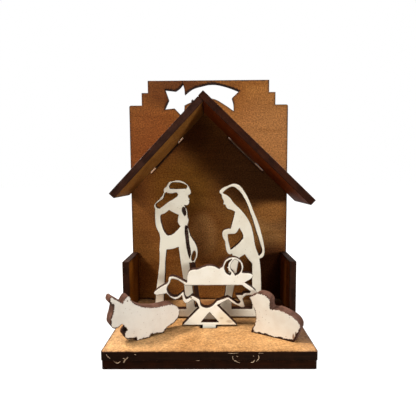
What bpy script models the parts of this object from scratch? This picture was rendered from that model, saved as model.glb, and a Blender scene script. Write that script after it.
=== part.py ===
"""Slot-together board stable with a couple, a child in a manger, a cow and a sheep.

Every piece is a flat board cut to an outline. X runs to the right, Y to the back and Z up, from
the middle of the base's underside. Lengths below are millimetres, and MM turns them into metres.
"""

from math import cos, pi, radians, sin

import bmesh
import bpy
from mathutils import Matrix, Vector

MM = 0.001

# Board thicknesses and the room left where boards meet
BOARD = 3.0
BASE_BOARD = 3.3
ANIMAL_BOARD = 5.0
GLUE = 0.1
SEAT = 0.3

# Base: two boards of the same outline, the lower one slightly smaller
BASE_WIDTH = 78.0
BASE_DEPTH = 60.0
BASE_INSET = 0.2
BASE_CORNER = 0.8
BASE_TOP = 2 * BASE_BOARD + GLUE
BASE_FRONT = -BASE_DEPTH / 2

# Roof: two boards that reach forward from the panel, the right one lapping the left one's end
ROOF_SETBACK = 25.5
RIDGE_X = -2.0
RIDGE_HEIGHT = 97.9
LEFT_PITCH = radians(46.4)
RIGHT_PITCH = radians(44.0)
LEFT_REACH = 58.1
RIGHT_REACH = 65.3
ROOF_TAB = 17.0
ROOF_SLOT = 23.6
ROOF_SLOT_PLAY = 0.6
LEFT_SLOT_UP = 27.4
RIGHT_SLOT_UP = 34.0
RIGHT_TAB_SHIFT = 1.8

# Back panel, as wide as the base, with two steps at each top corner
PANEL_MARGIN = 3.7
PANEL_OVER_RIDGE = 11.8
PANEL_STEP = 5.8
PANEL_SHOULDER = 6.0
PANEL_STEP_IN = 6.2
PANEL_STEP_MORE = 3.1
PANEL_CORNER = 0.8
PANEL_TAB = 14.0
PANEL_TAB_APART = 44.0
PANEL_FRONT = BASE_FRONT + BASE_DEPTH - PANEL_MARGIN - BOARD
PANEL_HEIGHT = RIDGE_HEIGHT + PANEL_OVER_RIDGE

# Comet cut through the panel, hung from its highest point
COMET_X = -4.0
COMET_WIDTH = 36.9
COMET_MARGIN = 1.5

# Side walls, flush with the ends of the base, from their front edge back to the panel
WALL_SETBACK = 32.2
WALL_HEIGHT = 24.8

# Figure sheets: how far each stands from the base's front edge, and how high its foot hangs
COUPLE_SETBACK = 29.3
COUPLE_HEIGHT = 61.2
COUPLE_TAB = 16.0
BAR_TOP = 4.3
MANGER_SETBACK = 20.75
MANGER_WIDTH = 42.7
MANGER_TAB = 5.7
MANGER_SLOT_LEFT = 0.9
MANGER_SLOT_FRONT = 1.2
FOOT = 0.7

# Child: a ring round the head
RING_X = 9.9
RING_HEIGHT = 25.2
RING_OUTER = 4.35
RING_INNER = 3.5

# Animals: the cow turns about its rump and the sheep about its nose, each just before the manger
COW_X = -12.25
COW_LENGTH = 28.4
COW_HEADING = radians(33)
COW_CLEAR = 2.6
SHEEP_X = 16.05
SHEEP_LENGTH = 20.7
SHEEP_HEADING = radians(-30.5)
SHEEP_CLEAR = 0.35

# Points along each bend of an outline
CURVE_STEPS = 5


def c(x, z):
    """A sharp corner of an outline. A plain pair is a point that the outline bends through."""
    return (x, z, "VECTOR")


def arc(x, z, radius, start, end, points):
    """Points on a circle, from one angle in degrees to the other."""
    step = (end - start) / (points - 1)
    turns = [radians(start + step * k) for k in range(points)]
    return [(x + radius * cos(a), z + radius * sin(a)) for a in turns]


def ring(radius, start, end):
    """Part of a circle round the child's head, with a corner at each end."""
    points = arc(RING_X, RING_HEIGHT, radius, start, end, 6)
    return [c(*points[0]), *points[1:-1], c(*points[-1])]


def from_ring(points):
    """Points given from the ring's centre, as points of the sheet."""
    return [(RING_X + p[0], RING_HEIGHT + p[1], *p[2:]) for p in points]


def box(left, right, low, high):
    return [c(left, low), c(left, high), c(right, high), c(right, low)]


def rounded(corners, radius, points=4):
    """The outline through these corners, taken clockwise, each cut back to a quarter circle."""
    loop = []
    for k, here in enumerate(corners):
        here = Vector(here)
        before = (Vector(corners[k - 1]) - here).normalized()
        after = (Vector(corners[(k + 1) % len(corners)]) - here).normalized()
        centre = here + radius * (before + after)
        for j in range(points):
            turn = pi / 2 * j / (points - 1)
            point = centre - radius * (after * cos(turn) + before * sin(turn))
            loop.append(c(point.x, point.y))
    return loop


def resized(loops, factor):
    """The same outlines, larger or smaller about their common origin."""
    return [[(p[0] * factor, p[1] * factor, *p[2:]) for p in loop] for loop in loops]


def reach(loop, axis):
    """How far an outline extends along X, axis 0, or upwards, axis 1."""
    places = [point[axis] for point in loop]
    return max(places) - min(places)


def material(name, colour, roughness):
    finish = bpy.data.materials.new(name)
    finish.use_nodes = True
    finish.diffuse_color = (*colour, 1)
    shader = finish.node_tree.nodes["Principled BSDF"]
    shader.inputs["Base Color"].default_value = (*colour, 1)
    shader.inputs["Roughness"].default_value = roughness
    return finish


def plate(name, loops, thickness, place, colour, roughness=0.7):
    """A board cut to the first loop, with the other loops as holes.

    The loops lie in the local XY plane and the board is centred on it.
    """
    curve = bpy.data.curves.new(name + "_outline", "CURVE")
    curve.dimensions = "2D"
    curve.fill_mode = "BOTH"
    curve.extrude = thickness / 2 * MM
    curve.resolution_u = CURVE_STEPS
    for loop in loops:
        spline = curve.splines.new("BEZIER")
        spline.bezier_points.add(len(loop) - 1)
        spline.use_cyclic_u = True
        spline.resolution_u = CURVE_STEPS
        for knot, point in zip(spline.bezier_points, loop):
            kind = point[2] if len(point) > 2 else "AUTO"
            knot.co = (point[0] * MM, point[1] * MM, 0)
            knot.handle_left_type = knot.handle_right_type = kind
    outline = bpy.data.objects.new(name + "_outline", curve)
    PARTS.objects.link(outline)
    outline.matrix_world = place
    bpy.context.view_layer.update()
    graph = bpy.context.evaluated_depsgraph_get()
    evaluated = outline.evaluated_get(graph)
    mesh = bpy.data.meshes.new_from_object(evaluated)
    mesh.name = name
    shape = bmesh.new()
    shape.from_mesh(mesh)
    bmesh.ops.remove_doubles(shape, verts=shape.verts, dist=0.001 * MM)
    bmesh.ops.recalc_face_normals(shape, faces=shape.faces)
    shape.to_mesh(mesh)
    shape.free()
    mesh.materials.clear()
    mesh.materials.append(material(name + "_finish", colour, roughness))
    board = bpy.data.objects.new(name, mesh)
    PARTS.objects.link(board)
    board.matrix_world = outline.matrix_world.copy()
    bpy.data.objects.remove(outline)
    bpy.data.curves.remove(curve)
    return board


def flat(bottom, thickness):
    """Lays an outline level, as seen from above, with its underside at this height."""
    return Matrix.Translation((0, 0, (bottom + thickness / 2) * MM))


def upright(front, thickness, x=0.0, heading=0.0):
    """Stands an outline on the base's top, its front face through this point."""
    stand = Matrix.Translation((x * MM, front * MM, BASE_TOP * MM))
    turned = stand @ Matrix.Rotation(heading, 4, "Z") @ Matrix.Rotation(pi / 2, 4, "X")
    return turned @ Matrix.Translation((0, 0, -thickness / 2 * MM))


def slope(side, pitch):
    """Unit vectors in X and Z up the slope and outwards from it. The left side is -1."""
    up = Vector((-side * cos(pitch), sin(pitch)))
    out = Vector((side * sin(pitch), cos(pitch)))
    return up, out


def eave(side, pitch, length):
    """The outer lower corner of a roof board, in X and height over the base's top."""
    up, _ = slope(side, pitch)
    return Vector((RIDGE_X, RIDGE_HEIGHT)) - up * length


def roof_slot(side, pitch, length, middle):
    """The slanted slot in the panel that a roof board's tab passes through."""
    up, out = slope(side, pitch)
    foot = eave(side, pitch, length) + up * (middle - ROOF_SLOT / 2)
    top = foot + up * ROOF_SLOT
    under = -out * (BOARD + ROOF_SLOT_PLAY)
    ends = (foot + out * SEAT, top + out * SEAT, top + under, foot + under)
    return [c(*end) for end in ends]


def roof_board(name, side, pitch, full, short, tab_middle, colour):
    """A roof board from its eave up, this much short of the ridge line."""
    up, out = slope(side, pitch)
    length = full - short
    depth = PANEL_FRONT - BASE_FRONT - ROOF_SETBACK - SEAT
    tab = depth + SEAT + BOARD
    low, high = tab_middle - ROOF_TAB / 2, tab_middle + ROOF_TAB / 2
    outline = [c(0, 0), c(0, depth), c(low, depth), c(low, tab), c(high, tab), c(high, depth)]
    outline += [c(length, depth), c(length, 0)]
    corner = eave(side, pitch, full) - out * BOARD / 2
    normal = out * -side
    place = Matrix(
        (
            (up.x, 0, normal.x, corner.x * MM),
            (0, 1, 0, (BASE_FRONT + ROOF_SETBACK) * MM),
            (up.y, 0, normal.y, (corner.y + BASE_TOP) * MM),
            (0, 0, 0, 1),
        )
    )
    return plate(name, [outline], BOARD, place, colour)


for old in list(bpy.data.objects):
    bpy.data.objects.remove(old, do_unlink=True)
PARTS = bpy.data.collections.new("board_stable_with_figures")
bpy.context.scene.collection.children.link(PARTS)

DARK_BOARD = (0.19, 0.09, 0.045)
WARM_BOARD = (0.52, 0.27, 0.12)
CREAM = (0.78, 0.72, 0.58)
TAB_FOOT = SEAT - GLUE - BASE_BOARD

# Base boards
base_side = BASE_WIDTH / 2
base_back = BASE_DEPTH / 2
lower_side = base_side - BASE_INSET
lower_back = base_back - BASE_INSET
lower = [(-lower_side, -lower_back), (-lower_side, lower_back)]
lower += [(lower_side, lower_back), (lower_side, -lower_back)]
upper = [(-base_side, -base_back), (-base_side, base_back)]
upper += [(base_side, base_back), (base_side, -base_back)]
plate("base_lower", [rounded(lower, BASE_CORNER)], BASE_BOARD, flat(0, BASE_BOARD), WARM_BOARD)

couple_front = BASE_FRONT + COUPLE_SETBACK
manger_front = BASE_FRONT + MANGER_SETBACK
couple_half = COUPLE_TAB / 2
manger_half = MANGER_TAB / 2
panel_slots = []
for middle in (-PANEL_TAB_APART / 2, PANEL_TAB_APART / 2):
    near, far = middle - PANEL_TAB / 2 - SEAT, middle + PANEL_TAB / 2 + SEAT
    panel_slots.append(box(near, far, PANEL_FRONT - SEAT, PANEL_FRONT + BOARD + SEAT))
couple_slot = box(
    -couple_half - SEAT, couple_half + SEAT, couple_front - SEAT, couple_front + BOARD + SEAT
)
manger_slot = box(
    -manger_half - MANGER_SLOT_LEFT,
    manger_half + SEAT,
    manger_front - MANGER_SLOT_FRONT,
    manger_front + BOARD + SEAT,
)
plate(
    "base_upper",
    [rounded(upper, BASE_CORNER), *panel_slots, couple_slot, manger_slot],
    BASE_BOARD,
    flat(BASE_BOARD + GLUE, BASE_BOARD),
    WARM_BOARD,
)

# Back panel with the comet cut through it
step_side = base_side - PANEL_STEP_IN
top_side = step_side - PANEL_STEP_MORE
upper_step = PANEL_HEIGHT - PANEL_STEP
shoulder = upper_step - PANEL_SHOULDER
right_edge = [c(top_side, PANEL_HEIGHT), c(top_side, upper_step)]
right_edge += [c(step_side, upper_step), c(step_side, shoulder)]
bend = PANEL_CORNER
right_edge += [c(base_side - bend, shoulder)]
right_edge += [c(*p) for p in arc(base_side - bend, shoulder - bend, bend, 60, 0, 3)]
right_edge += [c(base_side, SEAT)]
panel = right_edge[:]
for middle in (PANEL_TAB_APART / 2, -PANEL_TAB_APART / 2):
    near, far = middle + PANEL_TAB / 2, middle - PANEL_TAB / 2
    panel += [c(near, SEAT), c(near, TAB_FOOT), c(far, TAB_FOOT), c(far, SEAT)]
panel += [c(-p[0], p[1]) for p in reversed(right_edge)]
comet = [
    c(-17.2, -2.6), c(-12.1, -3.2), (-10.0, -1.7), c(-8.5, 0.0), (-7.8, -2.6),
    c(-7.6, -5.0), (-3.8, -2.2), (0.4, -0.9), (6.0, 0.0), (12.0, -1.0),
    c(19.2, -3.6), c(15.6, -7.0), (16.3, -9.4), c(16.5, -13.4), (11.9, -10.2),
    (6.2, -7.3), (0.2, -7.5), (-5.2, -9.2), c(-7.8, -10.4), (-7.9, -12.3),
    c(-8.6, -16.1), (-10.4, -14.2), c(-12.7, -11.8), c(-17.7, -12.3), c(-15.5, -7.5),
]
comet = resized([comet], COMET_WIDTH / reach(comet, 0))[0]
comet = [(COMET_X + p[0], PANEL_HEIGHT - COMET_MARGIN + p[1], *p[2:]) for p in comet]
left_slot = roof_slot(-1, LEFT_PITCH, LEFT_REACH, LEFT_SLOT_UP)
right_slot = roof_slot(1, RIGHT_PITCH, RIGHT_REACH, RIGHT_SLOT_UP)
plate(
    "back_panel",
    [panel, comet, left_slot, right_slot],
    BOARD,
    upright(PANEL_FRONT, BOARD),
    DARK_BOARD,
)

# Roof boards
right_tab = RIGHT_SLOT_UP + RIGHT_TAB_SHIFT
roof_board("roof_right", 1, RIGHT_PITCH, RIGHT_REACH, 0, right_tab, DARK_BOARD)
roof_board("roof_left", -1, LEFT_PITCH, LEFT_REACH, BOARD + SEAT, LEFT_SLOT_UP, DARK_BOARD)

# Side walls, seen from the side: Y runs along the outline's X
wall_front = BASE_FRONT + WALL_SETBACK
wall = box(wall_front, PANEL_FRONT - GLUE, GLUE, WALL_HEIGHT)
for name, x in (("side_wall_left", BOARD / 2 - base_side), ("side_wall_right", base_side - BOARD / 2)):
    stand = Matrix.Translation((x * MM, 0, BASE_TOP * MM))
    turned = stand @ Matrix.Rotation(pi / 2, 4, "Z") @ Matrix.Rotation(pi / 2, 4, "X")
    plate(name, [wall], BOARD, turned, DARK_BOARD)

# The couple: standing man at the left, bowing woman at the right, joined by a bar at their feet
man = [
    c(-24.3, FOOT), (-24.0, 5.9), (-23.3, 13.9), (-22.3, 21.0), (-21.7, 27.0), (-21.7, 31.6),
    (-21.5, 37.5), (-23.0, 41.1), (-23.4, 46.3), c(-23.3, 48.8), (-23.7, 50.2), (-23.0, 51.5),
    (-21.3, 53.1), (-20.1, 54.6), c(-19.3, 56.1), (-19.5, 57.0), (-19.0, 57.9), c(-18.1, 58.6),
    (-17.1, 60.3), (-15.1, 60.9), (-13.5, 61.2), (-11.6, 60.9), (-9.1, 59.3), (-8.0, 57.4),
    (-7.6, 56.2), (-7.9, 55.1), c(-8.8, 54.7), (-8.7, 53.8), c(-7.9, 52.9), c(-8.5, 52.5),
    (-8.3, 51.6), (-8.8, 50.7), (-9.8, 50.3), c(-10.6, 50.5), (-9.5, 48.6), (-9.2, 46.5),
    c(-9.1, 45.2), (-8.7, 44.0), (-8.9, 42.8), c(-9.2, 41.9), (-8.7, 39.5), c(-8.0, 37.1),
    (-6.8, 35.2), (-5.6, 33.2), (-5.0, 31.0), (-5.0, 28.5), (-5.7, 26.5), c(-6.2, 25.3),
    c(-4.9, 12.8), c(-3.9, BAR_TOP),
]
woman = [
    c(2.6, BAR_TOP), (5.4, 7.1), (6.7, 10.1), (7.4, 14.5), (9.3, 24.2), (10.2, 27.7),
    c(10.0, 29.0), (8.8, 28.7), (7.9, 29.6), (7.2, 32.2), c(7.0, 34.4), (5.8, 37.0),
    (6.1, 39.1), (7.7, 40.0), c(9.4, 40.2), (10.3, 43.4), c(11.3, 47.4), (9.8, 48.2),
    (8.2, 48.7), (7.4, 49.6), c(7.2, 50.4), c(6.2, 50.7), (6.4, 52.0), (5.8, 53.4),
    c(5.5, 54.8), (4.6, 56.1), (5.6, 57.5), (8.1, 58.7), (10.7, 59.6), (13.1, 59.0),
    (15.3, 56.4), (17.5, 52.4), (19.4, 47.7), (21.5, 42.5), (23.1, 37.0), (24.1, 32.4),
    (24.2, 29.0), (23.5, 27.5), c(22.1, 26.8), (22.6, 22.5), c(22.9, 14.8), c(23.0, FOOT),
]
couple_tab = [c(couple_half, FOOT), c(couple_half, TAB_FOOT)]
couple_tab += [c(-couple_half, TAB_FOOT), c(-couple_half, FOOT)]
head_band = [
    (-16.8, 57.9), (-15.8, 57.6), c(-9.6, 57.6), (-9.3, 58.6), (-10.6, 59.6), (-13.1, 60.2),
    (-16.2, 59.8),
]
scarf = [
    (-22.9, 50.5), (-21.7, 49.1), (-20.4, 49.7), (-17.5, 51.9), (-14.6, 53.6), (-13.4, 54.7),
    (-13.7, 55.7), (-15.8, 55.5), c(-17.8, 55.6), (-18.3, 56.0), (-19.8, 53.2), (-21.5, 52.0),
]
chest = [
    c(-17.2, 48.3), (-19.0, 46.9), (-20.7, 46.1), (-20.9, 45.0), (-20.4, 41.9), (-19.0, 38.4),
    (-17.9, 37.4), (-16.1, 37.7), (-14.0, 39.4), c(-12.4, 41.2), (-13.4, 42.7), (-13.5, 44.2),
    c(-13.1, 46.2), (-15.1, 47.1),
]
beard_gap = [
    (-11.1, 49.6), (-11.6, 48.5), (-11.2, 46.9), c(-10.5, 45.7), (-9.9, 46.3), (-10.0, 48.2),
    (-10.5, 49.5),
]
staff_gap = [
    (-9.9, 41.6), (-10.4, 40.0), (-10.1, 35.6), (-9.5, 30.6), c(-8.5, 27.0), (-8.0, 29.1),
    (-8.6, 33.8), (-9.3, 40.0),
]
cloak_gap = [
    (-6.4, 30.4), (-7.2, 29.3), (-7.7, 26.8), (-7.1, 25.8), (-6.3, 26.9), (-5.8, 29.0),
]
staff_kerf = [
    c(-8.6, 25.1), c(-8.2, 25.1), c(-6.8, 12.8), c(-5.9, 5.3), c(-6.3, 5.3), c(-7.2, 12.8),
]
man_legs = [
    c(-20.1, BAR_TOP), (-20.0, 8.6), (-19.3, 20.7), (-19.0, 26.7), c(-18.4, 31.0),
    (-16.1, 31.2), c(-13.3, 32.1), (-12.8, 27.7), (-11.9, 21.0), (-11.2, 15.8),
    c(-10.2, BAR_TOP),
]
woman_legs = [
    c(9.9, BAR_TOP), (10.0, 8.4), (11.1, 14.5), (13.0, 26.1), c(13.4, 27.3), c(15.6, 28.7),
    (17.0, 26.7), c(18.8, 24.6), c(18.8, 13.8), c(19.0, BAR_TOP),
]
folded_arm = [
    c(13.2, 40.3), (12.5, 38.9), (11.5, 37.9), (10.3, 37.7), c(8.3, 37.7), (8.4, 35.6),
    c(9.5, 30.9), (12.7, 33.4), c(14.9, 36.0), (14.6, 37.8),
]
veil = [
    c(6.1, 55.6), (7.9, 57.3), (10.2, 58.2), (12.3, 57.2), (15.3, 53.3), (18.3, 46.0),
    (20.7, 38.6), (22.4, 33.2), (23.1, 29.8), c(21.8, 28.1), (20.2, 32.7), (19.2, 38.3),
    (17.6, 43.2), (14.3, 47.9), (10.9, 51.3), (8.8, 54.0),
]
couple_holes = [head_band, scarf, chest, beard_gap, staff_gap, cloak_gap, staff_kerf, man_legs]
couple_holes += [woman_legs, folded_arm, veil]
couple_scale = COUPLE_HEIGHT / max(point[1] for point in man)
couple_outer, *couple_holes = resized([man + woman, *couple_holes], couple_scale)
plate(
    "couple",
    [couple_outer + couple_tab, *couple_holes],
    BOARD,
    upright(couple_front, BOARD),
    CREAM,
)

# The child on straw, over a trestle with crossed legs
child = [
    (-23.0, 14.5), (-22.1, 15.7), (-20.1, 17.1), c(-17.6, 18.5), (-17.0, 19.4), (-16.6, 21.2),
    (-15.6, 21.6), (-13.8, 21.3), (-12.3, 20.6), c(-9.2, 18.9), (-9.1, 21.1), (-8.8, 22.6),
    (-8.0, 23.9), (-6.9, 24.4), (-4.9, 24.5), (-2.0, 25.6), (0.2, 26.1), (2.5, 25.6),
    c(4.2, 24.7),
]
halo = ring(RING_OUTER, 175, -30)
straw_right = [
    (17.3, 22.6), (18.2, 22.0), (17.8, 20.8), c(14.8, 18.9), (18.6, 16.1), (19.7, 14.7),
    (19.1, 13.8), c(17.6, 13.4), c(15.3, 13.3), c(14.0, 12.0), (14.6, 9.8), (14.8, 8.6),
    (14.1, 8.2), (11.6, 9.2), (9.6, 10.2), c(7.9, 11.6), c(3.4, 9.2), c(11.7, FOOT),
]
manger_tab = [c(manger_half, FOOT), c(manger_half, TAB_FOOT)]
manger_tab += [c(-manger_half, TAB_FOOT), c(-manger_half, FOOT)]
straw_left = [
    c(-11.4, FOOT), c(-4.2, 8.1), (-4.9, 9.9), c(-5.4, 10.8), c(-7.0, 11.6), (-9.7, 10.1),
    (-10.6, 10.7), c(-11.3, 13.2), (-13.8, 11.7), (-15.0, 12.0), c(-17.8, 14.3),
    (-19.8, 13.9), (-22.5, 13.8),
]
under_child = [
    (-15.7, 20.2), (-14.7, 20.4), (-11.6, 19.1), c(-9.8, 17.7), c(13.6, 17.7), c(17.2, 15.0),
    c(16.8, 14.4), c(14.5, 14.4), c(13.8, 13.6), c(11.0, 13.6), c(13.0, 10.7), (12.3, 10.0),
    (10.2, 11.2), c(7.9, 12.7), c(3.3, 11.1), (1.8, 9.5), (0.6, 8.6), (-1.0, 8.2),
    (-2.4, 8.5), (-3.4, 9.3), c(-3.8, 11.7), c(-7.1, 13.5), (-9.4, 12.0), (-9.8, 12.3),
    c(-10.6, 15.2), (-14.4, 12.8), (-17.5, 15.9), (-16.1, 19.0),
]
trestle = [c(0.1, 6.2), c(-3.4, 2.0), c(3.9, 2.0)]
face = [(-1.2, 2.6), (-1.9, 1.5), (-2.0, 0.6), c(-2.5, -0.1), c(-2.0, -0.4), (-2.0, -1.0)]
face += [c(-1.5, -1.7), (-0.8, -2.3)]
nape = [(0.3, -2.1), (-0.6, -1.1), (-1.0, 0.2), (-0.6, 1.8)]
before_face = ring(RING_INNER, 250, 97) + from_ring(face)
behind_face = ring(RING_INNER, 80, -75) + from_ring(nape)
loops = [child + halo + straw_right, straw_left, under_child, trestle, before_face, behind_face]
manger_scale = MANGER_WIDTH / reach(child + straw_right, 0)
outer, outer_left, *manger_holes = resized(loops, manger_scale)
plate(
    "manger",
    [outer + manger_tab + outer_left, *manger_holes],
    BOARD,
    upright(manger_front, BOARD),
    CREAM,
)

# Lying cow and lying sheep, cut from thicker board and glued down at an angle
cow = [
    (-27.6, 19.0), (-26.2, 18.1), c(-23.5, 15.9), (-22.4, 17.5), (-21.6, 18.1), (-20.6, 17.7),
    (-20.0, 16.1), (-17.1, 13.7), (-12.7, 12.0), (-8.1, 11.5), (-3.8, 11.4), (-1.3, 10.3),
    (0.0, 8.4), (-0.1, 5.8), (-2.4, 3.4), (-5.3, 2.4), c(-7.2, 0.6), (-9.6, 0.8),
    c(-12.5, 1.2), c(-13.2, GLUE), c(-18.3, GLUE), c(-18.5, 1.6), (-21.0, 1.6), (-22.4, 2.0),
    (-23.2, 3.8), c(-22.0, 5.4), c(-23.8, 8.0), (-26.3, 6.9), (-28.0, 8.1), (-28.2, 9.8),
    (-27.2, 13.5), (-27.0, 15.8), c(-28.3, 16.9), c(-28.4, 17.8),
]
sheep = [
    (0.0, 14.2), c(1.6, 15.1), (3.5, 16.4), (5.0, 16.5), (7.5, 15.8), (8.9, 14.4),
    (8.9, 12.6), c(9.1, 11.3), c(9.7, 11.1), (12.1, 11.4), (16.0, 10.5), (18.9, 9.2),
    (20.4, 7.5), (20.7, 5.9), (20.1, 4.0), c(18.5, GLUE), c(0.9, GLUE), (1.6, 2.1),
    (2.7, 3.8), (2.6, 8.8), c(1.4, 11.3), (0.9, 12.8),
]
cow = resized([cow], COW_LENGTH / reach(cow, 0))
sheep = resized([sheep], SHEEP_LENGTH / reach(sheep, 0))
nose_front = manger_front - SHEEP_CLEAR - ANIMAL_BOARD * cos(SHEEP_HEADING)
cow_place = upright(manger_front - COW_CLEAR, ANIMAL_BOARD, COW_X, COW_HEADING)
sheep_place = upright(nose_front, ANIMAL_BOARD, SHEEP_X, SHEEP_HEADING)
plate("cow", cow, ANIMAL_BOARD, cow_place, CREAM)
plate("sheep", sheep, ANIMAL_BOARD, sheep_place, CREAM)
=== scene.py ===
"""Dresses the board stable and its cut-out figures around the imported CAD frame.

Every piece is a flat board. Its outline is read from its CAD node, and a finer board is built
from it in place: a soft burnt rim round each cut, a face with its own finish, a back and the cut
walls between them. Sizes are millimetres unless a name ends in _m, and MM turns them into metres.
"""

import logging
import math
from collections.abc import Iterable, Sequence
from dataclasses import dataclass
from enum import Enum

import bmesh
import bpy
import numpy as np
from mathutils import Matrix, Vector
from mathutils import noise as wave
from mathutils.geometry import delaunay_2d_cdt


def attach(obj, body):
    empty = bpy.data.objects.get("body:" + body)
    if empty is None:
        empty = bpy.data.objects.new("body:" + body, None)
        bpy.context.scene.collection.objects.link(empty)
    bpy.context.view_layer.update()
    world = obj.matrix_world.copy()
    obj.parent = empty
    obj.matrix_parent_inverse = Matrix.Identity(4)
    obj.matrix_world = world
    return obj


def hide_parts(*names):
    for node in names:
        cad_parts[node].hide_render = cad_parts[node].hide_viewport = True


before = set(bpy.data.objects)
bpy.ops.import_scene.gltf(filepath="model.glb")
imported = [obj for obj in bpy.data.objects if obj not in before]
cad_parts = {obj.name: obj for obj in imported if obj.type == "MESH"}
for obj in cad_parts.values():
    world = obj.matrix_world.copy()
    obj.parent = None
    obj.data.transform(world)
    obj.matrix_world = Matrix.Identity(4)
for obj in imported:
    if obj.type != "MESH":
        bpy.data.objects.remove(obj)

LOG = logging.getLogger("stable")
MM = 0.001
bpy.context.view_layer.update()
BODY = "root"
BASE_TOP = 6.7
EVEN = (1, 1, 1)
WHITE = (255, 255, 255)
WIDE = (0.3, 0.7)
MIDDLE = (0.35, 0.65)
FACE, CUT, BACK = range(3)

Triple = tuple[float, float, float]
Pair = tuple[float, float]
Colour = Triple
Point = Pair
Chip = tuple[float, float, float, float]
Socket = bpy.types.NodeSocket
Material = bpy.types.Material
Shape = bmesh.types.BMesh
Array = np.ndarray


def srgb(red: int, green: int, blue: int) -> Colour:
    """Turns a colour as seen on a screen into the linear values of a shader, by sRGB's own curve.

    Args:
        red: Red, 0 to 255.
        green: Green, 0 to 255.
        blue: Blue, 0 to 255.

    Returns:
        Linear red, green and blue, 0 to 1.
    """
    parts = []
    for part in (red, green, blue):
        value = part / 255
        parts.append(value / 12.92 if value <= 0.04045 else ((value + 0.055) / 1.055) ** 2.4)
    return (parts[0], parts[1], parts[2])


class Slot(Enum):
    """The record's material slots."""

    BASE = "base_board"
    STAINED = "stained_board"
    PAINTED = "painted_board"


class Side(Enum):
    """Left or right of the stable, as its sign along X."""

    LEFT = -1
    RIGHT = 1


class NodeBench:
    """A node tree under construction, with short calls for its nodes."""

    def __init__(self, owner: bpy.types.ID) -> None:
        """Turns on the nodes of a material or a world."""
        owner.use_nodes = True
        self.tree = owner.node_tree

    def link(self, source: Socket, target: Socket) -> None:
        """Joins an output to an input."""
        self.tree.links.new(source, target)

    def feed(self, socket: Socket, value: object) -> None:
        """Gives an input a number, a vector, a colour or the output of another node.

        Args:
            socket: The input.
            value: What it gets. A colour in whole numbers is one as seen on a screen.
        """
        if isinstance(value, Socket):
            self.link(value, socket)
        elif isinstance(value, tuple) and socket.type == "RGBA":
            on_screen = all(isinstance(part, int) for part in value)
            socket.default_value = (*(srgb(*value) if on_screen else value), 1.0)
        else:
            socket.default_value = value

    def add(self, kind: str, **values: object) -> bpy.types.Node:
        """Adds a node.

        Args:
            kind: Blender's name for the node, without ShaderNode.
            values: Its settings, by their names in small letters, and then its inputs, by theirs.

        Returns:
            The node.
        """
        node = self.tree.nodes.new("ShaderNode" + kind)
        for name, value in values.items():
            if name.islower():
                setattr(node, name, value)
            else:
                self.feed(node.inputs[name], value)
        return node

    def sum(self, first: object, second: object, operation: str = "ADD") -> Socket:
        """Combines two values.

        Args:
            first: A number or an output.
            second: A number or an output.
            operation: Blender's name for the operation.

        Returns:
            The result.
        """
        node = self.add("Math", operation=operation)
        self.feed(node.inputs[0], first)
        self.feed(node.inputs[1], second)
        return node.outputs[0]

    def seen(self) -> Socket:
        """Gives 1 to rays from the camera and from gloss, and 0 to those that light the object."""
        path = self.add("LightPath")
        return self.sum(path.outputs["Is Camera Ray"], path.outputs["Is Glossy Ray"], "MAXIMUM")


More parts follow.
